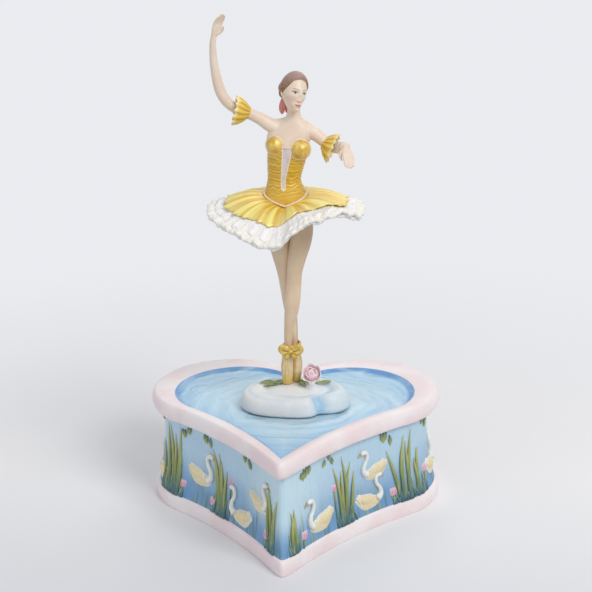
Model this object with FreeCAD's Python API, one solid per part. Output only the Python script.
import FreeCAD, Part
import math
import os

# Ballerina jewellery box, millimetres, +Z up, heart tip towards -Y.
# The origin is the centre of the foot rim's outline, on the table.

# Heart outline in plan
LOBE_SPACING = 61.0
LOBE_RADIUS = 34.5
SIDE_RADIUS = 32.0
HEART_LENGTH = 122.0
TIP_HALF_ANGLE = 28.0
CLEFT_RADIUS = 4.0

# Box casting
FOOT_RIM_HEIGHT = 7.0
FOOT_EDGE_SCALE = 0.982
WALL_FOOT_SCALE = 0.972
WALL_TOP_SCALE = 0.91
WALL_STEPS = 6
NOSE_STEPS = 6
SEAM_HEIGHT = 43.0
WALL = 5.0
BASE_WALL = 8.0
KEY_ROOM_HEIGHT = 14.0
FLOOR = 3.0

# Lid casting
SEAM_GAP = 0.3
LID_THICKNESS = 7.7
LID_EDGE_SCALE = 0.965
SHORE_SCALE = 0.855
LAKE_SCALE = 0.823
LAKE_SHIFT = -2.0
LAKE_DEPTH = 1.6
LIP_DEPTH = 2.0
LIP_WIDTH = 2.5
LIP_CLEARANCE = 0.6

# Hinges
HINGE_WIDTH = 12.0
KNUCKLE_RADIUS = 1.6
KNUCKLE_GAP = 0.25
GROOVE_CLEARANCE = 0.5
HINGE_PIN_RADIUS = 0.6
LEAF = 0.8
LEAF_MARGIN = 0.8
HINGE_SCREW_RADIUS = 0.55
HINGE_SCREW_HEAD_RADIUS = 1.0
HINGE_SCREW_HEAD = 0.5
HINGE_SCREW_LENGTH = 3.6
HINGE_SCREW_SPACING = 6.4
RUNNING_CLEARANCE = 0.05

# How far a cut runs past the face it opens
CUT_MARGIN = 1.0

# Tray and clear cover
TRAY_CLEARANCE = 0.3
TRAY_WALL = 1.5
COVER = 1.5
COVER_CLEARANCE = 0.3
COVER_TO_LIP = 0.5
LEDGE_WIDTH = 1.5
LEDGE = 1.4
SIDE_DIVIDER_X = -28.5
FRONT_DIVIDER_AHEAD = 25.0
COVER_HOLE_RADIUS = 9.0

# Spindle, turntable and coupling
SPINDLE_SETBACK = 19.5
SPINDLE_RADIUS = 2.0
BUSH_RADIUS = 4.0
BUSH_FLANGE_RADIUS = 6.0
BUSH_FLANGE = 1.2
END_FLOAT = 0.2
HUB_RADIUS = 4.5
HUB_HEIGHT = 3.0
TONGUE_LENGTH = 10.0
TONGUE_WIDTH = 2.0
TONGUE_DEPTH = 2.2
TONGUE_CLEARANCE = 0.5
DOG_RADIUS = 6.5
DOG_FACE_GAP = 0.3
DOG_WEB = 0.9
TURNTABLE_GAP = 0.3
PLATE_RADIUS = 12.0
PLATE = 1.2

# Movement: u runs along the cylinder, v across it, both from the spindle axis
MOVEMENT_ANGLE = 30.0
BEDPLATE_START = -15.0
BEDPLATE_OVERHANG = 0.3
BEDPLATE_V = (-19.0, 21.0)
BEDPLATE = 2.0
BEDPLATE_CORNER = 5.0
BOSS_HEIGHT = 2.5
BOSS_RADIUS = 3.2
BOSS_SETBACK = 4.5
FAR_BOSS_SETBACK = 5.0
BOSS_V = (-14.0, 16.0)
MOVEMENT_SCREW_RADIUS = 1.25
MOVEMENT_SCREW_HEAD_RADIUS = 2.6
MOVEMENT_SCREW_HEAD = 1.6
SCREW_HOLE_CLEARANCE = 0.2
WINDOW_MARGIN = 0.7

# Spring barrel
BARREL_LIFT = 0.8
BARREL_RADIUS = 12.0
BARREL_WALL = 1.0
BARREL_DEPTH = 9.4
BARREL_COVER = 1.2
FLANGE_EDGE = 0.2
FLANGE = 1.5
OUTPUT_SHAFT_RADIUS = 2.5
CROWN_TEETH = 48
CROWN_GAP = 1.2
CROWN_WIDTH = 2.6
SPRING_THICKNESS = 0.35
SPRING_PITCH = 1.1
SPRING_TURNS = 6
SPRING_INNER_RADIUS = 3.6
SPRING_MARGIN = 0.8

# Winding side
ARBOR_RADIUS = 2.5
ARBOR_THREAD_RADIUS = 1.75
RATCHET_TEETH = 16
RATCHET_RADIUS = 6.5
RATCHET_TOOTH = 0.9
RATCHET = 1.4
RATCHET_LIFT = 0.5
CLICK_PIVOT = (10.5, -9.5)
CLICK_TIP_ANGLE = -80.0
CLICK_GAP = 0.5
CLICK_RADIUS = 2.0
CLICK_PIN_RADIUS = 0.8
KEY_HUB_RADIUS = 3.6
KEY_GROUND = 2.5
KEY_TOP_GAP = 1.0
KEY_THICKNESS = 2.2
KEY_WING_WIDTH = 12.0
KEY_WING_RIM = 2.4
KEY_WING_OFFSET = 8.5

# Gear train
PINION_TEETH = 12
WHEEL_TEETH = 36
WHEEL_MODULE = 0.4
WORM_WHEEL_TEETH = 16
WORM_MODULE = 0.5
WORM_PITCH_RADIUS = 1.3
WORM_CREST_RADIUS = 1.7
WORM_ROOT_RADIUS = 0.75
WORM_TURNS = 4
TOOTH_SHARE = 0.36
TOOTH_TIP_SHARE = 0.6
TOOTH_ROOT_SHARE = 1.5
WORM_ROOT_SHARE = 1.3
ADDENDUM = 0.8
DEDENDUM = 1.15

# Cylinder and comb
CYLINDER_RADIUS = 6.5
CYLINDER_SETBACK = 3.2
CYLINDER_LENGTH = 18.5
CYLINDER_ARBOR_RADIUS = 1.0
PIN_HEIGHT = 0.6
PIN_RADIUS = 0.2
PINS_PER_TRACK = 3
TRACK_TURN = 137.5
NOTES = 18
WHEEL_GAP = 0.5
WHEEL_FACE = 1.2
BRACKET = 1.2
BRACKET_MARGIN = 2.6
COMB_THICKNESS = 0.8
COMB_TOOTH_LENGTH = 7.5
COMB_BASE_LENGTH = 5.0
COMB_SLIT = 0.25
COMB_GAP = 0.25
COMB_SCREW_RADIUS = 0.8
COMB_SCREW_HEAD_RADIUS = 1.6
COMB_SCREW_HEAD = 0.8
COMB_SCREW_LENGTH = 4.5
COMB_SCREWS = 3

# Governor
SECOND_ARBOR_RADIUS = 0.8
WORM_WHEEL_FACE = 1.4
JOURNAL_RADIUS = 0.6
GOVERNOR_ARM = 1.3
FAN_RADIUS = 4.2
FAN_HEIGHT = 2.8
FAN_BLADE = 0.5
FAN_HUB_RADIUS = 1.3

# Mound and flower
MOUND_HALF_WIDTH = 24.0
MOUND_HALF_DEPTH = 18.5
MOUND_HEIGHT = 8.4
# x, y, half width, half depth, height
MOUND_LOBES = [(-13.0, 3.0, 11.5, 9.5, 7.0), (13.5, 2.5, 11.5, 10.0, 7.2), (2.0, -9.0, 15.0, 9.0, 6.0)]
ROSE_RADIUS = 3.0
ROSE_PLACE = (8.0, -4.5)
FLOWER_GAP = 0.1
# x, y, turn in degrees
LEAF_PLACES = [(-9.0, -1.5, 15.0), (-4.6, -6.4, 60.0), (11.2, 0.8, -30.0), (7.5, -10.5, 10.0)]
LEAF_HALF_LENGTH = 4.2
LEAF_HALF_WIDTH = 1.7
LEAF_HALF_THICKNESS = 0.8
FIGURE_PIN_RADIUS = 0.8
FIGURE_PIN_ABOVE = 9.0
FIGURE_PIN_BELOW = 4.0

# Figure, measured from the point where the toes meet the mound
FOOT_X = 0.8
FOOT_Y = 1.9
# radius, height
SHOE_PROFILE = [(1.0, 0.0), (1.5, 2.5), (1.95, 8.0), (1.8, 14.5)]
# height, half distance between the legs across and along, radius
LEG_RINGS = [(14.5, 0.8, 1.9, 1.8), (20.0, 0.9, 1.8, 1.75), (32.0, 1.9, 1.8, 2.4),
             (40.0, 2.2, 1.7, 2.55), (47.5, 2.7, 1.5, 2.8), (55.0, 3.5, 1.0, 3.5),
             (62.0, 4.4, 0.5, 4.3), (69.8, 5.1, 0.0, 5.0)]
RIBBON_HEIGHT = 4.0
RIBBON_HALF_WIDTH = 4.3
RIBBON_HALF_DEPTH = 5.3
RIBBON_THICKNESS = 0.9
# height, centre x, centre y, half width, half depth
TORSO_RINGS = [(70.0, -0.8, 0.0, 9.6, 7.2), (78.0, -1.3, 0.0, 9.4, 7.1),
               (84.0, -1.7, 0.0, 8.4, 6.2), (90.5, -2.0, 0.0, 7.4, 5.4),
               (97.0, -1.8, -0.2, 8.0, 5.8), (101.0, -1.6, -0.4, 9.0, 6.5),
               (104.0, -1.4, -0.5, 9.4, 6.8), (107.0, -1.0, -0.2, 8.8, 6.2),
               (110.0, -0.3, 0.2, 8.6, 5.5), (113.5, 0.2, 0.4, 8.8, 4.6),
               (116.0, 0.7, 0.4, 5.0, 3.8)]
SHOULDER_LEVEL = 107.0
SHOULDER_FACES = (-8.4, 9.0)
SHOULDER_GAP = 0.1
SKULL_CENTRE = (1.2, -0.3, 130.0)
SKULL_RADIUS = 5.9
JAW_Y = -1.4
JAW_RADIUS = 2.6
JAW_LEVELS = (120.0, 128.5)
NECK_RADIUS = 3.1
HAIR_CENTRE = (0.9, 0.5, 130.0)
HAIR_RADIUS = 6.6
HAIRLINE_TILT = 28.0
HAIR_GAP = 0.1
BUN_CENTRE = (-0.6, 8.0, 129.0)
BUN_RADIUS = 3.2
HAIR_RIBBON_TOP = (-3.2, 6.0, 127.0)
HAIR_RIBBON_SIZE = (2.6, 0.9, 7.5)
# x, y, height, radius
RAISED_ARM = [(-7.6, 0.2, 112.4, 3.0), (-11.5, 0.0, 114.4, 2.8), (-16.3, -0.5, 117.0, 2.5),
              (-22.0, -1.0, 119.4, 2.3), (-27.2, -1.5, 123.2, 2.1), (-31.4, -2.0, 130.2, 2.0),
              (-33.1, -2.5, 140.4, 1.7), (-32.4, -2.5, 148.3, 1.3), (-30.6, -2.5, 154.1, 1.5),
              (-28.9, -2.5, 158.9, 0.5)]
FORWARD_ARM = [(8.2, 0.4, 112.8, 2.9), (10.6, -0.2, 111.8, 2.8), (13.5, -1.8, 109.8, 2.5),
               (16.8, -5.0, 107.4, 2.2), (19.6, -9.5, 106.3, 2.0), (22.2, -14.5, 105.4, 1.7),
               (23.8, -17.8, 104.6, 1.4), (25.0, -21.0, 103.0, 0.7)]
FRILL_STATION = 2
FRILL_LENGTH = 6.5
FRILL_NARROW_RADIUS = 3.5
FRILL_WIDE_RADIUS = 6.4
FRILL_THICKNESS = 0.6
# Skirt profiles: radius, height
OVERSKIRT_TOP = [(6.0, 88.0), (16.0, 85.6), (25.0, 82.4)]
OVERSKIRT_UNDER = [(25.0, 81.0), (6.0, 85.0)]
SKIRT_GAP = 0.1
PETTICOAT_HEM = [(33.0, 77.6), (33.0, 75.4)]
PETTICOAT_UNDER = [(20.0, 78.0), (6.0, 80.0)]
SKIRT_CENTRE_X = -3.2
SKIRT_TILT = 8.0
SKIRT_PIVOT_HEIGHT = 84.0
WAIST_CLEARANCE = 0.3

V = FreeCAD.Vector
UP = V(0, 0, 1)

# Levels and places that follow from the sizes above
HALF_WIDTH = LOBE_SPACING / 2 + LOBE_RADIUS
LOBE_Y = HEART_LENGTH / 2 - LOBE_RADIUS
SPINDLE_Y = LOBE_Y - SPINDLE_SETBACK
FRONT_DIVIDER_Y = SPINDLE_Y - FRONT_DIVIDER_AHEAD
FLOOR_TOP = KEY_ROOM_HEIGHT + FLOOR
LID_UNDER = SEAM_HEIGHT + SEAM_GAP
LID_TOP = LID_UNDER + LID_THICKNESS
LAKE_LEVEL = LID_TOP - LAKE_DEPTH
HINGE_X = LOBE_SPACING / 2 * WALL_TOP_SCALE
WALL_BACK = HEART_LENGTH / 2 * WALL_TOP_SCALE
HINGE_Y = WALL_BACK + KNUCKLE_RADIUS + KNUCKLE_GAP
HINGE_Z = SEAM_HEIGHT + SEAM_GAP / 2
COVER_TOP = SEAM_HEIGHT - LIP_DEPTH - COVER_TO_LIP
COVER_UNDER = COVER_TOP - COVER
BEDPLATE_UNDER = FLOOR_TOP + BOSS_HEIGHT
BEDPLATE_TOP = BEDPLATE_UNDER + BEDPLATE
BARREL_UNDER = BEDPLATE_TOP + BARREL_LIFT
FLANGE_TOP = BARREL_UNDER + FLANGE
BARREL_TOP = FLANGE_TOP + BARREL_DEPTH
CROWN_FACE = (BARREL_RADIUS + CROWN_GAP, BARREL_RADIUS + CROWN_GAP + CROWN_WIDTH)
FLANGE_RADIUS = CROWN_FACE[1] + FLANGE_EDGE
CROWN_RADIUS = (CROWN_FACE[0] + CROWN_FACE[1]) / 2
CROWN_MODULE = 2 * CROWN_RADIUS / CROWN_TEETH
AXIS_Z = FLANGE_TOP + (DEDENDUM + PINION_TEETH / 2) * CROWN_MODULE
HUB_TOP = LID_UNDER - BUSH_FLANGE - END_FLOAT
HUB_UNDER = HUB_TOP - HUB_HEIGHT
TONGUE_UNDER = HUB_UNDER - TONGUE_DEPTH
DOG_TOP = HUB_UNDER - DOG_FACE_GAP
DOG_SLOT_BOTTOM = TONGUE_UNDER - TONGUE_CLEARANCE
DOG_UNDER = DOG_SLOT_BOTTOM - DOG_WEB
PLATE_UNDER = LAKE_LEVEL + TURNTABLE_GAP
PLATE_TOP = PLATE_UNDER + PLATE
MOUND_TOP = PLATE_UNDER + MOUND_HEIGHT
TOE_Z = MOUND_TOP
RATCHET_UNDER = FLOOR_TOP + RATCHET_LIFT
CYLINDER_START = CROWN_FACE[1] + CYLINDER_SETBACK
CYLINDER_U = (CYLINDER_START, CYLINDER_START + CYLINDER_LENGTH)
WHEEL_U = CYLINDER_U[1] + WHEEL_GAP
BRACKET_U = WHEEL_U + WHEEL_FACE + WHEEL_GAP
WORM_WHEEL_U = BRACKET_U + BRACKET + WHEEL_GAP
WORM_U = WORM_WHEEL_U + WORM_WHEEL_FACE / 2
UPRIGHT_U = WORM_WHEEL_U + WORM_WHEEL_FACE + WORM_CREST_RADIUS
BEDPLATE_U = (BEDPLATE_START, UPRIGHT_U + BRACKET + BEDPLATE_OVERHANG)
BOSSES = [(BEDPLATE_START + BOSS_SETBACK, v) for v in BOSS_V]
BOSSES += [(BEDPLATE_U[1] - FAR_BOSS_SETBACK, v) for v in reversed(BOSS_V)]
PINION_U = CROWN_FACE[0]
SECOND_V = -(WHEEL_TEETH + PINION_TEETH) * WHEEL_MODULE / 2
WORM_WHEEL_RADIUS = WORM_WHEEL_TEETH * WORM_MODULE / 2
WORM_V = SECOND_V - WORM_WHEEL_RADIUS - WORM_PITCH_RADIUS
WORM_LEAD = math.pi * WORM_MODULE
GOVERNOR_ARM_UNDER = AXIS_Z + WORM_LEAD * WORM_TURNS / 2 + WHEEL_GAP
FAN_UNDER = GOVERNOR_ARM_UNDER + GOVERNOR_ARM + WHEEL_GAP
COMB_V = CYLINDER_RADIUS + PIN_HEIGHT + COMB_GAP
COMB_BED_V = COMB_V + COMB_TOOTH_LENGTH


def heart_wire(z, scale=1.0, inset=0.0, shift=0.0):
    """Closed heart of seven tangent arcs, scaled about its centre, then moved inwards by inset."""
    tip_angle = math.radians(TIP_HALF_ANGLE)
    lobe = V(LOBE_SPACING / 2, LOBE_Y, 0)
    side = V(HALF_WIDTH - SIDE_RADIUS, LOBE_Y, 0)
    tip = V(0, -HEART_LENGTH / 2, 0)
    normal = V(math.cos(tip_angle), -math.sin(tip_angle), 0)
    reach = tip - side
    flank_radius = (reach.dot(reach) - SIDE_RADIUS ** 2) / (2 * SIDE_RADIUS - 2 * reach.dot(normal))
    flank = tip + normal * flank_radius
    cleft_rise = math.sqrt((LOBE_RADIUS + CLEFT_RADIUS) ** 2 - lobe.x ** 2)
    cleft = V(0, LOBE_Y + cleft_rise, 0)
    lobe, side, flank, cleft = [point * scale for point in (lobe, side, flank, cleft)]
    lobe_radius = LOBE_RADIUS * scale - inset
    side_radius = SIDE_RADIUS * scale - inset
    flank_radius = flank_radius * scale + inset
    cleft_radius = CLEFT_RADIUS * scale + inset
    tip = V(0, flank.y + math.sqrt(flank_radius ** 2 - flank.x ** 2), 0)

    def bearing(start, end):
        return math.atan2(end.y - start.y, end.x - start.x)

    half = [(flank, flank_radius, bearing(flank, tip), bearing(flank, side)),
            (side, side_radius, bearing(side, flank), 0.0),
            (lobe, lobe_radius, 0.0, bearing(lobe, cleft))]

    def arc(centre, radius, start, end, mirror):
        points = []
        for angle in (start, (start + end) / 2, end):
            x = mirror * (centre.x + radius * math.cos(angle))
            points.append(V(x, centre.y + radius * math.sin(angle) + shift, z))
        return Part.Arc(*points).toShape()

    edges = [arc(*piece, 1) for piece in half]
    swing = bearing(cleft, lobe)
    edges.append(arc(cleft, cleft_radius, swing, -math.pi - swing, 1))
    edges += [arc(centre, radius, end, start, -1) for centre, radius, start, end in reversed(half)]
    return Part.Wire(edges)


def heart_prism(low, high, scale=1.0, inset=0.0):
    return Part.Face(heart_wire(low, scale, inset)).extrude(V(0, 0, high - low))


def nosed_slab(low, high, edge_scale):
    """Heart-shaped slab with a rounded edge."""
    middle = (low + high) / 2
    rings = []
    for step in range(NOSE_STEPS + 1):
        angle = math.pi * (step / NOSE_STEPS - 0.5)
        scale = edge_scale + (1 - edge_scale) * math.cos(angle)
        rings.append(heart_wire(middle + (high - low) / 2 * math.sin(angle), scale))
    return Part.makeLoft(rings, True, True)


def box(x, y, z):
    """Block between pairs of limits."""
    return Part.makeBox(x[1] - x[0], y[1] - y[0], z[1] - z[0], V(x[0], y[0], z[0]))


def cylinder(radius, low, high, x=0.0, y=0.0):
    return Part.makeCylinder(radius, high - low, V(x, y, low))


def along_u(radius, start, end, v=0.0, z=None):
    """Round bar along the movement's u direction."""
    return Part.makeCylinder(radius, end - start, V(start, v, AXIS_Z if z is None else z), V(1, 0, 0))


def on_spindle(shape):
    shape.translate(V(0, SPINDLE_Y, 0))
    return shape


def in_movement(shape):
    """Turn a shape made in u and v into its place under the spindle."""
    shape.rotate(V(0, 0, 0), UP, MOVEMENT_ANGLE)
    return on_spindle(shape)


def on_figure(shape):
    shape.translate(V(0, SPINDLE_Y, TOE_Z))
    return shape


def ellipsoid(centre, half):
    matrix = FreeCAD.Matrix()
    matrix.scale(V(*half))
    ball = Part.makeSphere(1.0).transformGeometry(matrix)
    ball.translate(V(*centre))
    return ball


def ring(x, y, z, half_width, half_depth):
    matrix = FreeCAD.Matrix()
    matrix.scale(V(half_width, half_depth, 1))
    wire = Part.Wire(Part.Circle(V(0, 0, 0), UP, 1.0).toShape()).transformGeometry(matrix)
    wire.translate(V(x, y, z))
    return wire


def limb(stations):
    """Tapering limb through round sections that stand square to its path."""
    points = [V(*station[:3]) for station in stations]
    chord = points[-1] - points[0]
    base = FreeCAD.Rotation(UP, chord)
    wires = []
    for index, station in enumerate(stations):
        before = points[max(index - 1, 0)]
        after = points[min(index + 1, len(points) - 1)]
        turn = FreeCAD.Rotation(chord, after - before).multiply(base)
        wire = Part.Wire(Part.Circle(V(0, 0, 0), UP, station[3]).toShape())
        wire.Placement = FreeCAD.Placement(points[index], turn)
        wires.append(wire)
    return Part.makeLoft(wires, True, False)


def toothed_wheel(teeth, module, start, face, tooth_angle):
    """Spur wheel along u at the origin, with a tooth centred on tooth_angle."""
    radius = teeth * module / 2
    pitch = 2 * math.pi / teeth
    tip_half = pitch * TOOTH_SHARE / 2 * TOOTH_TIP_SHARE
    root_half = pitch * TOOTH_SHARE / 2 * TOOTH_ROOT_SHARE
    points = []
    for tooth in range(teeth):
        middle = math.radians(tooth_angle) + tooth * pitch
        corners = [(-root_half, radius - DEDENDUM * module), (-tip_half, radius + ADDENDUM * module),
                   (tip_half, radius + ADDENDUM * module), (root_half, radius - DEDENDUM * module)]
        for offset, reach in corners:
            angle = middle + offset
            points.append(V(start, reach * math.cos(angle), reach * math.sin(angle)))
    return Part.Face(Part.makePolygon(points + points[:1])).extrude(V(face, 0, 0))


def lowered(shape, v=0.0):
    """Move a wheel made at the origin to the height of the cylinder's axis."""
    shape.translate(V(0, v, AXIS_Z))
    return shape


def screw(x, y, seat, direction, radius, head_radius, head, length):
    """Headed screw whose head starts at seat and whose shank runs along direction, up or down."""
    start = V(x, y, seat)
    run = V(0, 0, direction)
    shank = Part.makeCylinder(radius, length, start, run)
    return Part.makeCylinder(head_radius, head, start, run).fuse(shank)


# Hinges

def hinge_centres():
    return [-HINGE_X, HINGE_X]


def hinge_screw_group(seat, direction):
    screws = []
    for centre in hinge_centres():
        for side in (-1, 1):
            x = centre + side * HINGE_SCREW_SPACING / 2
            screws.append(screw(x, WALL_BACK - WALL / 2, seat, direction, HINGE_SCREW_RADIUS,
                                HINGE_SCREW_HEAD_RADIUS, HINGE_SCREW_HEAD, HINGE_SCREW_LENGTH))
    return Part.makeCompound(screws)


def knuckle(centre, start, end, radius):
    return Part.makeCylinder(radius, end - start, V(centre + start, HINGE_Y, HINGE_Z), V(1, 0, 0))


def hinge_plate(centre, low, past=0.0):
    """Flat of a leaf; past makes the longer block that cuts its seat right through the wall."""
    back = HINGE_Y - KNUCKLE_RADIUS - KNUCKLE_GAP + past
    front = WALL_BACK - WALL + LEAF_MARGIN
    half = HINGE_WIDTH / 2
    return box((centre - half, centre + half), (front, back), (low, low + LEAF))


def hinge_leaf(centre, low, stretches, bore_radius):
    """One leaf: its plate, and a tongue and knuckle for each stretch along the pin."""
    leaf = hinge_plate(centre, low)
    back = HINGE_Y - KNUCKLE_RADIUS - KNUCKLE_GAP
    for start, end in stretches:
        leaf = leaf.fuse(box((centre + start, centre + end), (back - LEAF, HINGE_Y), (low, low + LEAF)))
        leaf = leaf.fuse(knuckle(centre, start, end, KNUCKLE_RADIUS))
    return leaf.cut(knuckle(centre, -HINGE_WIDTH, HINGE_WIDTH, bore_radius))


def make_hinges():
    third = HINGE_WIDTH / 6
    half = HINGE_WIDTH / 2
    box_screws = hinge_screw_group(SEAM_HEIGHT, -1)
    lid_screws = hinge_screw_group(LID_UNDER, 1)
    box_leaves = []
    lid_leaves = []
    pins = []
    for centre in hinge_centres():
        outer = [(-half, -third - KNUCKLE_GAP / 2), (third + KNUCKLE_GAP / 2, half)]
        box_leaf = hinge_leaf(centre, SEAM_HEIGHT - LEAF, outer, HINGE_PIN_RADIUS)
        inner = [(-third + KNUCKLE_GAP / 2, third - KNUCKLE_GAP / 2)]
        lid_leaf = hinge_leaf(centre, LID_UNDER, inner, HINGE_PIN_RADIUS + RUNNING_CLEARANCE)
        box_leaves.append(box_leaf.cut(box_screws))
        lid_leaves.append(lid_leaf.cut(lid_screws))
        pins.append(knuckle(centre, -half, half, HINGE_PIN_RADIUS))
    return {"box_hinge_leaves": Part.makeCompound(box_leaves),
            "lid_hinge_leaves": Part.makeCompound(lid_leaves),
            "hinge_pins": Part.makeCompound(pins),
            "box_hinge_screws": box_screws,
            "lid_hinge_screws": lid_screws}


# Box, lid and tray

def make_box_body(hinges):
    foot = nosed_slab(0.0, FOOT_RIM_HEIGHT, FOOT_EDGE_SCALE)
    rings = [heart_wire(FOOT_RIM_HEIGHT / 2, WALL_FOOT_SCALE)]
    for step in range(WALL_STEPS + 1):
        share = step / WALL_STEPS
        scale = WALL_TOP_SCALE + (WALL_FOOT_SCALE - WALL_TOP_SCALE) * (1 - share) ** 2
        rings.append(heart_wire(FOOT_RIM_HEIGHT + share * (SEAM_HEIGHT - FOOT_RIM_HEIGHT), scale))
    body = foot.fuse(Part.makeLoft(rings, True, True))
    body = body.cut(heart_prism(-CUT_MARGIN, KEY_ROOM_HEIGHT, inset=BASE_WALL))
    body = body.cut(heart_prism(FLOOR_TOP, SEAM_HEIGHT + CUT_MARGIN, WALL_TOP_SCALE, WALL))
    for centre in hinge_centres():
        body = body.cut(hinge_plate(centre, SEAM_HEIGHT - LEAF, CUT_MARGIN))
    body = body.cut(hinges["box_hinge_screws"])
    holes = [cylinder(ARBOR_RADIUS + TONGUE_CLEARANCE, 0.0, FLOOR_TOP + CUT_MARGIN)]
    screw_hole = MOVEMENT_SCREW_RADIUS + SCREW_HOLE_CLEARANCE
    for u, v in BOSSES:
        holes.append(cylinder(screw_hole, 0.0, FLOOR_TOP + CUT_MARGIN, u, v))
    return body.cut(in_movement(Part.makeCompound(holes)))


def make_lid(hinges):
    lid = nosed_slab(LID_UNDER, LID_TOP, LID_EDGE_SCALE)
    lake_rings = [heart_wire(LAKE_LEVEL, LAKE_SCALE, shift=LAKE_SHIFT),
                  heart_wire(LID_TOP, SHORE_SCALE, shift=LAKE_SHIFT),
                  heart_wire(LID_TOP + CUT_MARGIN, SHORE_SCALE, shift=LAKE_SHIFT)]
    lid = lid.cut(Part.makeLoft(lake_rings, True, True))
    outer = WALL + LIP_CLEARANCE
    lip = heart_prism(SEAM_HEIGHT - LIP_DEPTH, LID_UNDER, WALL_TOP_SCALE, outer)
    lip = lip.cut(heart_prism(SEAM_HEIGHT - LIP_DEPTH, LID_UNDER, WALL_TOP_SCALE, outer + LIP_WIDTH))
    lid = lid.fuse(lip)
    for centre in hinge_centres():
        lid = lid.cut(hinge_plate(centre, LID_UNDER))
        half = HINGE_WIDTH / 2 + GROOVE_CLEARANCE
        lid = lid.cut(knuckle(centre, -half, half, KNUCKLE_RADIUS + GROOVE_CLEARANCE))
    lid = lid.cut(hinges["lid_hinge_screws"])
    return lid.cut(on_spindle(cylinder(BUSH_RADIUS, 0.0, LID_TOP)))


def well_block(low, high, overlap=0.0):
    """Block over the part of the box that holds the movement, between the two dividers and the wall."""
    far = 2 * HEART_LENGTH
    return box((SIDE_DIVIDER_X + overlap, far), (FRONT_DIVIDER_Y + overlap, far), (low, high))


def make_compartment_tray():
    inset = WALL + TRAY_CLEARANCE
    base_top = FLOOR_TOP + TRAY_WALL
    half = TRAY_WALL / 2
    far = 2 * HEART_LENGTH
    tray = heart_prism(FLOOR_TOP, COVER_TOP, WALL_TOP_SCALE, inset)
    tray = tray.cut(heart_prism(base_top, COVER_TOP + CUT_MARGIN, WALL_TOP_SCALE, inset + TRAY_WALL))
    inside = heart_prism(FLOOR_TOP, COVER_UNDER, WALL_TOP_SCALE, inset + half)
    left = SIDE_DIVIDER_X - half
    near = FRONT_DIVIDER_Y - half
    height = (FLOOR_TOP, COVER_UNDER)
    side = box((left, left + TRAY_WALL), (near, far), height)
    front = box((left, far), (near, near + TRAY_WALL), height)
    tray = tray.fuse(inside.common(side.fuse(front)))
    hole = heart_prism(FLOOR_TOP - CUT_MARGIN, base_top, WALL_TOP_SCALE, inset + TRAY_WALL)
    tray = tray.cut(hole.common(well_block(FLOOR_TOP - CUT_MARGIN, base_top, half)))
    ledge = heart_prism(COVER_UNDER - LEDGE, COVER_UNDER, WALL_TOP_SCALE, inset + half)
    ledge = ledge.cut(heart_prism(0.0, SEAM_HEIGHT, WALL_TOP_SCALE, inset + TRAY_WALL + LEDGE_WIDTH))
    return tray.fuse(ledge.common(well_block(0.0, SEAM_HEIGHT)))


def make_movement_cover():
    inset = WALL + TRAY_CLEARANCE + TRAY_WALL + COVER_CLEARANCE
    plate = heart_prism(COVER_UNDER, COVER_TOP, WALL_TOP_SCALE, inset)
    plate = plate.common(well_block(0.0, SEAM_HEIGHT))
    return plate.cut(on_spindle(cylinder(COVER_HOLE_RADIUS, 0.0, SEAM_HEIGHT)))


# Spindle, coupling and turntable

def make_spindle_parts():
    spindle = on_spindle(cylinder(SPINDLE_RADIUS, HUB_UNDER + END_FLOAT, PLATE_TOP + PLATE))
    bore = on_spindle(cylinder(SPINDLE_RADIUS + RUNNING_CLEARANCE, 0.0, LID_TOP))
    bush = cylinder(BUSH_RADIUS, LID_UNDER, LAKE_LEVEL)
    bush = bush.fuse(cylinder(BUSH_FLANGE_RADIUS, LID_UNDER - BUSH_FLANGE, LID_UNDER))
    tongue = box((-TONGUE_LENGTH / 2, TONGUE_LENGTH / 2), (-TONGUE_WIDTH / 2, TONGUE_WIDTH / 2),
                 (TONGUE_UNDER, HUB_UNDER))
    tongue = tongue.common(cylinder(TONGUE_LENGTH / 2, TONGUE_UNDER, HUB_UNDER))
    hub = on_spindle(cylinder(HUB_RADIUS, HUB_UNDER, HUB_TOP).fuse(tongue))
    plate = on_spindle(cylinder(PLATE_RADIUS, PLATE_UNDER, PLATE_TOP))
    return {"turntable_spindle": spindle, "spindle_bush": on_spindle(bush).cut(bore),
            "lid_dog": hub.cut(spindle), "turntable_plate": plate.cut(spindle)}


def make_mound(spindle_parts):
    shapes = [ellipsoid((0, 0, PLATE_UNDER), (MOUND_HALF_WIDTH, MOUND_HALF_DEPTH, MOUND_HEIGHT))]
    for x, y, half_width, half_depth, height in MOUND_LOBES:
        shapes.append(ellipsoid((x, y, PLATE_UNDER), (half_width, half_depth, height)))
    mound = shapes[0].multiFuse(shapes[1:])
    reach = 2 * MOUND_HALF_WIDTH
    mound = mound.common(box((-reach, reach), (-reach, reach), (PLATE_UNDER, MOUND_TOP + CUT_MARGIN)))
    hollows = [spindle_parts["turntable_plate"], spindle_parts["turntable_spindle"]]
    return on_spindle(mound).cut(hollows + [figure_pin(RUNNING_CLEARANCE)])


def on_mound(shape, x, y, lift):
    """Stand a shape made at the origin on the mound's main swell, square to its surface."""
    height = MOUND_HEIGHT * math.sqrt(1 - (x / MOUND_HALF_WIDTH) ** 2 - (y / MOUND_HALF_DEPTH) ** 2)
    slope = V(x / MOUND_HALF_WIDTH ** 2, y / MOUND_HALF_DEPTH ** 2, height / MOUND_HEIGHT ** 2)
    normal = slope.normalize()
    seat = V(x, y, PLATE_UNDER + height) + normal * (lift + FLOWER_GAP)
    shape.Placement = FreeCAD.Placement(seat, FreeCAD.Rotation(UP, normal)).multiply(shape.Placement)
    return on_spindle(shape)


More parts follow.
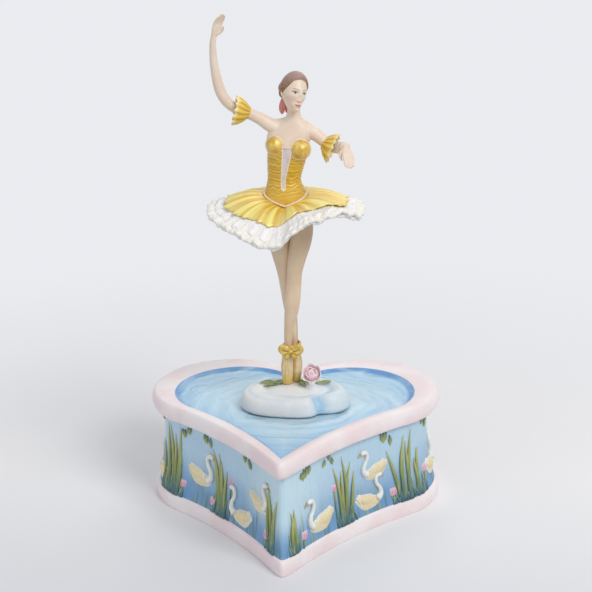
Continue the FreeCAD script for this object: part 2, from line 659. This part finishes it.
def make_flower():
    rose = on_mound(Part.makeSphere(ROSE_RADIUS), *ROSE_PLACE, ROSE_RADIUS)
    leaves = []
    for x, y, turn in LEAF_PLACES:
        leaf = ellipsoid((0, 0, 0), (LEAF_HALF_LENGTH, LEAF_HALF_WIDTH, LEAF_HALF_THICKNESS))
        leaf.rotate(V(0, 0, 0), UP, turn)
        leaves.append(on_mound(leaf, x, y, LEAF_HALF_THICKNESS))
    return {"rose": rose, "rose_leaves": Part.makeCompound(leaves)}


# Figure

def make_feet_and_legs():
    """Two shoes and two legs, one foot a little in front of the other."""
    shoes = []
    legs = []
    for side in (-1, 1):
        foot = V(side * FOOT_X, -side * FOOT_Y, 0)
        corners = [V(radius, 0, z) for radius, z in SHOE_PROFILE]
        corners = [V(0, 0, 0)] + corners + [V(0, 0, SHOE_PROFILE[-1][1])]
        shoe = Part.Face(Part.makePolygon(corners + corners[:1])).revolve(V(0, 0, 0), UP, 360)
        shoe.translate(foot)
        shoes.append(on_figure(shoe).cut(figure_pin(RUNNING_CLEARANCE)))
        rings = [ring(side * x, -side * y, z, radius, radius) for z, x, y, radius in LEG_RINGS]
        legs.append(on_figure(Part.makeLoft(rings, True, False)))
    return {"pointe_shoes": Part.makeCompound(shoes), "back_leg": legs[0], "front_leg": legs[1]}


def oval_prism(x, y, low, high, half_width, half_depth):
    return Part.Face(ring(x, y, low, half_width, half_depth)).extrude(V(0, 0, high - low))


def make_ankle_ribbons():
    low = LEG_RINGS[0][0]
    high = low + RIBBON_HEIGHT
    band = oval_prism(0, 0, low, high, RIBBON_HALF_WIDTH, RIBBON_HALF_DEPTH)
    bore_width = RIBBON_HALF_WIDTH - RIBBON_THICKNESS
    bore_depth = RIBBON_HALF_DEPTH - RIBBON_THICKNESS
    return band.cut(oval_prism(0, 0, low, high, bore_width, bore_depth))


def make_torso():
    """Trunk from hips to the root of the neck, with a flat face at each shoulder."""
    rings = [ring(x, y, z, half_width, half_depth) for z, x, y, half_width, half_depth in TORSO_RINGS]
    reach = 2 * RAISED_ARM[-1][2]
    sleeves = [box((-reach, SHOULDER_FACES[0]), (-reach, reach), (SHOULDER_LEVEL, reach)),
               box((SHOULDER_FACES[1], reach), (-reach, reach), (SHOULDER_LEVEL, reach))]
    return Part.makeLoft(rings, True, True).cut(sleeves)


def make_arm(stations, shoulder, side):
    """Arm trimmed flat against its shoulder face."""
    reach = 2 * RAISED_ARM[-1][2]
    body_side = sorted((shoulder + side * SHOULDER_GAP, -side * reach))
    return limb(stations).cut(box(body_side, (-reach, reach), (-reach, reach)))


def arm_frill(stations):
    """Flared cuff round an arm, opening towards the hand."""
    start = V(*stations[FRILL_STATION][:3])
    run = V(*stations[FRILL_STATION + 1][:3]) - start
    outer = Part.makeCone(FRILL_NARROW_RADIUS, FRILL_WIDE_RADIUS, FRILL_LENGTH, start, run)
    inner = Part.makeCone(FRILL_NARROW_RADIUS - FRILL_THICKNESS, FRILL_WIDE_RADIUS - FRILL_THICKNESS,
                          FRILL_LENGTH, start, run)
    return outer.cut(inner)


def skirt(points):
    """Turn a profile of radius and height about the waist, tip it forwards and let the hips through."""
    corners = [V(radius, 0, height) for radius, height in points]
    layer = Part.Face(Part.makePolygon(corners + corners[:1])).revolve(V(0, 0, 0), UP, 360)
    layer.rotate(V(0, 0, SKIRT_PIVOT_HEIGHT), V(1, 0, 0), SKIRT_TILT)
    layer.translate(V(SKIRT_CENTRE_X, 0, 0))
    z, x, y, half_width, half_depth = TORSO_RINGS[1]
    half_width += WAIST_CLEARANCE
    half_depth += WAIST_CLEARANCE
    return layer.cut(oval_prism(x, y, 0.0, TORSO_RINGS[-1][0], half_width, half_depth))


def head_solid(grow=0.0):
    """Skull, jaw and neck; grow makes the slightly larger copy that trims the hair."""
    skull = V(*SKULL_CENTRE)
    jaw_low, jaw_high = JAW_LEVELS
    jaw = Part.makeCone(JAW_RADIUS + grow, SKULL_RADIUS - SHOULDER_GAP + grow, jaw_high - jaw_low,
                        V(skull.x, JAW_Y, jaw_low))
    neck = cylinder(NECK_RADIUS + grow, TORSO_RINGS[-1][0], skull.z, skull.x, 0.0)
    return Part.makeSphere(SKULL_RADIUS + grow, skull).fuse([jaw, neck])


def make_head_parts():
    trim = head_solid(HAIR_GAP)
    reach = 4 * HAIR_RADIUS
    face_side = box((-reach, reach), (-2 * reach, 0), (-reach, reach))
    face_side.rotate(V(0, 0, 0), V(1, 0, 0), -HAIRLINE_TILT)
    face_side.translate(V(*HAIR_CENTRE))
    hair = Part.makeSphere(HAIR_RADIUS, V(*HAIR_CENTRE)).cut(face_side)
    hair = hair.fuse(Part.makeSphere(BUN_RADIUS, V(*BUN_CENTRE))).cut(trim)
    width, thickness, drop = HAIR_RIBBON_SIZE
    x, y, z = HAIR_RIBBON_TOP
    tail = box((x - width / 2, x + width / 2), (y, y + thickness), (z - drop, z)).cut([hair, trim])
    return {"ballerina_head": head_solid(), "hair": hair, "hair_ribbon": tail}


def make_figure():
    nodes = make_head_parts()
    nodes["ankle_ribbons"] = make_ankle_ribbons()
    nodes["ballerina_torso"] = make_torso()
    nodes["raised_arm"] = make_arm(RAISED_ARM, SHOULDER_FACES[0], -1)
    nodes["forward_arm"] = make_arm(FORWARD_ARM, SHOULDER_FACES[1], 1)
    nodes["raised_arm_frill"] = arm_frill(RAISED_ARM)
    nodes["forward_arm_frill"] = arm_frill(FORWARD_ARM)
    nodes["tutu_overskirt"] = skirt(OVERSKIRT_TOP + OVERSKIRT_UNDER)
    petticoat_top = [(radius, height - SKIRT_GAP) for radius, height in reversed(OVERSKIRT_UNDER)]
    nodes["tutu_petticoat"] = skirt(petticoat_top + PETTICOAT_HEM + PETTICOAT_UNDER)
    nodes = {name: on_figure(shape) for name, shape in nodes.items()}
    nodes.update(make_feet_and_legs())
    return nodes


def figure_pin(grow=0.0):
    """Pin that holds the feet to the mound; grow makes the hole for it."""
    low = TOE_Z - FIGURE_PIN_BELOW - grow
    return on_spindle(cylinder(FIGURE_PIN_RADIUS + grow, low, TOE_Z + FIGURE_PIN_ABOVE + grow))


# Movement

def make_bedplate(screws):
    plate = box(BEDPLATE_U, BEDPLATE_V, (BEDPLATE_UNDER, BEDPLATE_TOP))
    corners = [edge for edge in plate.Edges if edge.Vertexes[0].Z != edge.Vertexes[1].Z]
    plate = plate.makeFillet(BEDPLATE_CORNER, corners)
    half = CYLINDER_RADIUS + PIN_HEIGHT + WINDOW_MARGIN + WHEEL_MODULE
    window = box((CYLINDER_U[0] - WINDOW_MARGIN, WHEEL_U + WHEEL_FACE + WHEEL_GAP / 2), (-half, half),
                 (0.0, BEDPLATE_TOP))
    plate = plate.cut(window)
    plate = plate.cut(cylinder(ARBOR_RADIUS + RUNNING_CLEARANCE, 0.0, BEDPLATE_TOP + CUT_MARGIN))
    plate = plate.fuse([cylinder(BOSS_RADIUS, FLOOR_TOP, BEDPLATE_TOP, u, v) for u, v in BOSSES])
    plate = plate.fuse(cylinder(CLICK_PIN_RADIUS, RATCHET_UNDER, BEDPLATE_TOP, *CLICK_PIVOT))
    bed = box(CYLINDER_U, (COMB_BED_V, COMB_BED_V + COMB_BASE_LENGTH),
              (BEDPLATE_UNDER, AXIS_Z - COMB_THICKNESS / 2))
    return in_movement(plate.fuse(bed)).cut(screws)


def make_movement_screws():
    length = FLOOR + BOSS_HEIGHT + BEDPLATE / 2
    screws = []
    for u, v in BOSSES:
        head_low = KEY_ROOM_HEIGHT - MOVEMENT_SCREW_HEAD
        head = cylinder(MOVEMENT_SCREW_HEAD_RADIUS, head_low, KEY_ROOM_HEIGHT, u, v)
        shank = cylinder(MOVEMENT_SCREW_RADIUS, KEY_ROOM_HEIGHT, KEY_ROOM_HEIGHT + length, u, v)
        screws.append(head.fuse(shank))
    return in_movement(Part.makeCompound(screws))


def make_winding_parts():
    key_top = KEY_ROOM_HEIGHT - KEY_TOP_GAP
    arbor = cylinder(ARBOR_RADIUS, key_top, BARREL_TOP - END_FLOAT)
    arbor = on_spindle(arbor.fuse(cylinder(ARBOR_THREAD_RADIUS, KEY_GROUND + KEY_THICKNESS, key_top)))
    points = []
    for tooth in range(RATCHET_TEETH):
        angle = 2 * math.pi * tooth / RATCHET_TEETH
        for reach in (RATCHET_RADIUS - RATCHET_TOOTH, RATCHET_RADIUS):
            points.append(V(reach * math.cos(angle), reach * math.sin(angle), RATCHET_UNDER))
    ratchet = on_spindle(Part.Face(Part.makePolygon(points + points[:1])).extrude(V(0, 0, RATCHET)))
    hub = cylinder(KEY_HUB_RADIUS, KEY_GROUND, key_top)
    wing_half = (key_top - KEY_GROUND - KEY_TOP_GAP) / 2
    half = KEY_THICKNESS / 2
    hole_width = KEY_WING_WIDTH / 2 - KEY_WING_RIM
    for side in (-1, 1):
        wing = oval_prism(0, 0, -half, half, KEY_WING_WIDTH / 2, wing_half)
        wing = wing.cut(oval_prism(0, 0, -half, half, hole_width, wing_half - KEY_WING_RIM))
        wing.rotate(V(0, 0, 0), V(1, 0, 0), 90)
        wing.translate(V(side * KEY_WING_OFFSET, 0, KEY_GROUND + wing_half + KEY_TOP_GAP / 2))
        hub = hub.fuse(wing)
    return {"winding_arbor": arbor, "ratchet_wheel": ratchet.cut(arbor),
            "winding_key": on_spindle(hub).cut(arbor)}


def make_click():
    pivot = V(*CLICK_PIVOT, RATCHET_UNDER)
    angle = math.radians(CLICK_TIP_ANGLE)
    reach = RATCHET_RADIUS + CLICK_GAP
    tip = V(reach * math.cos(angle), reach * math.sin(angle), RATCHET_UNDER)
    run = tip - pivot
    across = V(-run.y, run.x, 0).normalize() * CLICK_RADIUS
    lever = Part.Face(Part.makePolygon([pivot - across, pivot + across, tip, pivot - across]))
    lever = lever.extrude(V(0, 0, RATCHET))
    lever = lever.fuse(cylinder(CLICK_RADIUS, RATCHET_UNDER, RATCHET_UNDER + RATCHET, *CLICK_PIVOT))
    bore = cylinder(CLICK_PIN_RADIUS + RUNNING_CLEARANCE, 0.0, BEDPLATE_TOP, *CLICK_PIVOT)
    return in_movement(lever.cut(bore))


def make_spring_barrel():
    barrel = cylinder(FLANGE_RADIUS, BARREL_UNDER, FLANGE_TOP)
    drum = cylinder(BARREL_RADIUS, FLANGE_TOP, BARREL_TOP)
    barrel = barrel.fuse(drum.cut(cylinder(BARREL_RADIUS - BARREL_WALL, FLANGE_TOP, BARREL_TOP)))
    pitch = 2 * math.pi * CROWN_RADIUS / CROWN_TEETH
    root = pitch * TOOTH_SHARE / 2 * TOOTH_ROOT_SHARE
    tip = pitch * TOOTH_SHARE / 2 * TOOTH_TIP_SHARE
    top = FLANGE_TOP + (DEDENDUM + ADDENDUM) * CROWN_MODULE
    sink = FLANGE_TOP - FLANGE / 2
    start = CROWN_FACE[0]
    corners = [V(start, -root, sink), V(start, -root, FLANGE_TOP), V(start, -tip, top),
               V(start, tip, top), V(start, root, FLANGE_TOP), V(start, root, sink)]
    tooth = Part.Face(Part.makePolygon(corners + corners[:1])).extrude(V(CROWN_FACE[1] - start, 0, 0))
    teeth = []
    for index in range(CROWN_TEETH):
        copy = tooth.copy()
        copy.rotate(V(0, 0, 0), UP, 360.0 / CROWN_TEETH * index)
        teeth.append(copy)
    barrel = barrel.multiFuse(teeth)
    return in_movement(barrel.cut(cylinder(ARBOR_RADIUS + RUNNING_CLEARANCE, 0.0, BARREL_TOP)))


def make_mainspring():
    """Flat spring wound in half turns, each a little wider than the last."""
    step = SPRING_PITCH / 2
    low = FLANGE_TOP + SPRING_MARGIN

    def side(offset):
        arcs = []
        for index in range(2 * SPRING_TURNS):
            centre = step * (index % 2)
            radius = SPRING_INNER_RADIUS + step * index + offset
            start = math.pi * (index % 2)
            points = []
            for angle in (start, start + math.pi / 2, start + math.pi):
                points.append(V(centre + radius * math.cos(angle), radius * math.sin(angle), low))
            arcs.append(Part.Arc(*points).toShape())
        return arcs

    inner = side(-SPRING_THICKNESS / 2)
    outer = side(SPRING_THICKNESS / 2)

    def cap(index, end):
        return Part.makeLine(inner[index].Vertexes[end].Point, outer[index].Vertexes[end].Point)

    wire = Part.Wire(Part.sortEdges(inner + outer + [cap(0, 0), cap(-1, -1)])[0])
    return on_spindle(Part.Face(wire).extrude(V(0, 0, BARREL_TOP - SPRING_MARGIN - low)))


def make_output():
    cover = cylinder(BARREL_RADIUS, BARREL_TOP, BARREL_TOP + BARREL_COVER)
    shaft = cylinder(OUTPUT_SHAFT_RADIUS, BARREL_TOP, DOG_SLOT_BOTTOM)
    cover = on_spindle(cover.fuse(shaft))
    dog = cylinder(DOG_RADIUS, DOG_UNDER, DOG_TOP)
    half = TONGUE_WIDTH / 2 + TONGUE_CLEARANCE
    reach = 2 * DOG_RADIUS
    dog = dog.cut(box((-reach, reach), (-half, half), (DOG_SLOT_BOTTOM, DOG_TOP + CUT_MARGIN)))
    return {"barrel_cover": cover, "drive_dog": on_spindle(dog).cut(cover)}


def make_cylinder_parts():
    arbor = along_u(CYLINDER_ARBOR_RADIUS, PINION_U, BRACKET_U + BRACKET)
    pinion = toothed_wheel(PINION_TEETH, CROWN_MODULE, PINION_U, CROWN_FACE[1] - PINION_U,
                           -90.0 + 180.0 / PINION_TEETH)
    wheel = toothed_wheel(WHEEL_TEETH, WHEEL_MODULE, WHEEL_U, WHEEL_FACE, 180.0)
    drum = along_u(CYLINDER_RADIUS, *CYLINDER_U)
    pitch = (CYLINDER_U[1] - CYLINDER_U[0]) / NOTES
    pins = []
    for track in range(NOTES):
        for repeat in range(PINS_PER_TRACK):
            pin = Part.makeCylinder(PIN_RADIUS, CYLINDER_RADIUS + PIN_HEIGHT - CYLINDER_ARBOR_RADIUS * 2,
                                    V(0, CYLINDER_ARBOR_RADIUS * 2, 0), V(0, 1, 0))
            pin.rotate(V(0, 0, 0), V(1, 0, 0), 360.0 * repeat / PINS_PER_TRACK + TRACK_TURN * track)
            pin.translate(V(CYLINDER_U[0] + (track + 0.5) * pitch, 0, AXIS_Z))
            pins.append(pin)
    return {"cylinder_arbor": in_movement(arbor.copy()),
            "cylinder_pinion": in_movement(lowered(pinion).cut(arbor)),
            "cylinder_wheel": in_movement(lowered(wheel).cut(arbor)),
            "pinned_cylinder": in_movement(drum.multiFuse(pins).cut(arbor))}


def make_cylinder_brackets():
    """Two uprights: a short one beside the barrel and a long one that also carries the second arbor."""
    top = AXIS_Z + BRACKET_MARGIN
    half = BRACKET_MARGIN + CYLINDER_ARBOR_RADIUS
    inner_u = CYLINDER_U[0] - WINDOW_MARGIN - BRACKET
    inner = box((inner_u, inner_u + BRACKET), (-half, half), (BEDPLATE_TOP, top))
    outer = box((BRACKET_U, BRACKET_U + BRACKET), (SECOND_V - BRACKET_MARGIN, half), (BEDPLATE_TOP, top))
    holes = [along_u(CYLINDER_ARBOR_RADIUS + RUNNING_CLEARANCE, 0.0, BEDPLATE_U[1]),
             along_u(SECOND_ARBOR_RADIUS + RUNNING_CLEARANCE, 0.0, BEDPLATE_U[1], SECOND_V)]
    return in_movement(Part.makeCompound([inner.cut(holes), outer.cut(holes)]))


def comb_screw_places():
    spacing = (CYLINDER_U[1] - CYLINDER_U[0]) / COMB_SCREWS
    return [CYLINDER_U[0] + (index + 0.5) * spacing for index in range(COMB_SCREWS)]


def make_comb_screws():
    top = AXIS_Z + COMB_THICKNESS / 2
    middle = COMB_BED_V + COMB_BASE_LENGTH / 2
    screws = []
    for u in comb_screw_places():
        head = cylinder(COMB_SCREW_HEAD_RADIUS, top, top + COMB_SCREW_HEAD, u, middle)
        screws.append(head.fuse(cylinder(COMB_SCREW_RADIUS, top - COMB_SCREW_LENGTH, top, u, middle)))
    return in_movement(Part.makeCompound(screws))


def make_comb(screws):
    low = AXIS_Z - COMB_THICKNESS / 2
    comb = box(CYLINDER_U, (COMB_V, COMB_BED_V + COMB_BASE_LENGTH), (low, low + COMB_THICKNESS))
    pitch = (CYLINDER_U[1] - CYLINDER_U[0]) / NOTES
    slits = []
    for index in range(1, NOTES):
        u = CYLINDER_U[0] + index * pitch - COMB_SLIT / 2
        slit_length = (COMB_V - CUT_MARGIN, COMB_BED_V)
        slits.append(box((u, u + COMB_SLIT), slit_length, (low, low + COMB_THICKNESS)))
    return in_movement(comb.cut(slits)).cut(screws)


def make_second_parts():
    arbor = along_u(SECOND_ARBOR_RADIUS, WHEEL_U - WHEEL_GAP / 2, UPRIGHT_U + BRACKET, SECOND_V)
    pinion = toothed_wheel(PINION_TEETH, WHEEL_MODULE, WHEEL_U, WHEEL_FACE, 180.0 / PINION_TEETH)
    wheel = toothed_wheel(WORM_WHEEL_TEETH, WORM_MODULE, WORM_WHEEL_U, WORM_WHEEL_FACE,
                          180.0 + 180.0 / WORM_WHEEL_TEETH)
    return {"second_arbor": in_movement(arbor.copy()),
            "second_pinion": in_movement(lowered(pinion, SECOND_V).cut(arbor)),
            "worm_wheel": in_movement(lowered(wheel, SECOND_V).cut(arbor))}


def make_governor_worm():
    height = WORM_LEAD * WORM_TURNS
    base = AXIS_Z - height / 2 - WORM_LEAD / 4
    helix = Part.makeHelix(WORM_LEAD, height, WORM_PITCH_RADIUS)
    crest = WORM_LEAD * TOOTH_SHARE / 2 * TOOTH_TIP_SHARE
    root = WORM_LEAD * TOOTH_SHARE / 2 * WORM_ROOT_SHARE
    inner = WORM_ROOT_RADIUS - WORM_ROOT_RADIUS / 4
    corners = [V(inner, 0, -root), V(WORM_CREST_RADIUS, 0, -crest),
               V(WORM_CREST_RADIUS, 0, crest), V(inner, 0, root)]
    profile = Part.makePolygon(corners + corners[:1])
    thread = Part.Wire(helix.Edges).makePipeShell([profile], True, True)
    thread.translate(V(0, 0, base))
    worm = cylinder(WORM_ROOT_RADIUS, base - root, base + height + root).fuse(thread)
    worm = worm.fuse(cylinder(JOURNAL_RADIUS, BEDPLATE_TOP + GOVERNOR_ARM / 2, FAN_UNDER + FAN_HEIGHT))
    worm.translate(V(WORM_U, WORM_V, 0))
    return in_movement(worm)


def make_governor_fan():
    height = (FAN_UNDER, FAN_UNDER + FAN_HEIGHT)
    fan = cylinder(FAN_HUB_RADIUS, *height)
    fan = fan.fuse(box((-FAN_RADIUS, FAN_RADIUS), (-FAN_BLADE / 2, FAN_BLADE / 2), height))
    fan = fan.cut(cylinder(JOURNAL_RADIUS, *height))
    fan.translate(V(WORM_U, WORM_V, 0))
    return in_movement(fan)


def make_governor_bracket():
    arm = (GOVERNOR_ARM_UNDER, GOVERNOR_ARM_UNDER + GOVERNOR_ARM)
    across = (WORM_V - BRACKET_MARGIN, WORM_V + BRACKET_MARGIN)
    along = (WORM_U - BRACKET_MARGIN, UPRIGHT_U + BRACKET)
    bracket = box((UPRIGHT_U, UPRIGHT_U + BRACKET), (WORM_V - BRACKET_MARGIN, SECOND_V + BRACKET_MARGIN),
                  (BEDPLATE_TOP, arm[1]))
    bracket = bracket.fuse([box(along, across, arm),
                            box(along, across, (BEDPLATE_TOP, BEDPLATE_TOP + GOVERNOR_ARM))])
    foot = BEDPLATE_TOP + GOVERNOR_ARM / 2 - RUNNING_CLEARANCE
    holes = [cylinder(JOURNAL_RADIUS + RUNNING_CLEARANCE, foot, FAN_UNDER, WORM_U, WORM_V),
             along_u(SECOND_ARBOR_RADIUS + RUNNING_CLEARANCE, WORM_U, UPRIGHT_U + 2 * BRACKET, SECOND_V)]
    return in_movement(bracket.cut(holes))


def make_nodes():
    nodes = make_hinges()
    nodes["box_body"] = make_box_body(nodes)
    nodes["lid"] = make_lid(nodes)
    nodes["compartment_tray"] = make_compartment_tray()
    nodes["movement_cover"] = make_movement_cover()
    nodes.update(make_spindle_parts())
    nodes["figure_pin"] = figure_pin()
    nodes["turntable_mound"] = make_mound(nodes)
    nodes.update(make_figure())
    nodes.update(make_flower())
    nodes["movement_screws"] = make_movement_screws()
    nodes["comb_screws"] = make_comb_screws()
    nodes["movement_bedplate"] = make_bedplate([nodes["movement_screws"], nodes["comb_screws"]])
    nodes["comb"] = make_comb([nodes["comb_screws"]])
    nodes.update(make_winding_parts())
    nodes["click"] = make_click()
    nodes["spring_barrel"] = make_spring_barrel()
    nodes["mainspring"] = make_mainspring()
    nodes.update(make_output())
    nodes.update(make_cylinder_parts())
    nodes["cylinder_brackets"] = make_cylinder_brackets()
    nodes.update(make_second_parts())
    nodes["governor_worm"] = make_governor_worm()
    nodes["governor_fan"] = make_governor_fan()
    nodes["governor_bracket"] = make_governor_bracket()
    return nodes


os.makedirs("parts", exist_ok=True)
for node, shape in make_nodes().items():
    shape.exportStep("parts/" + node + ".step")
    print(node, len(shape.Solids), round(shape.Volume, 2), shape.isValid())
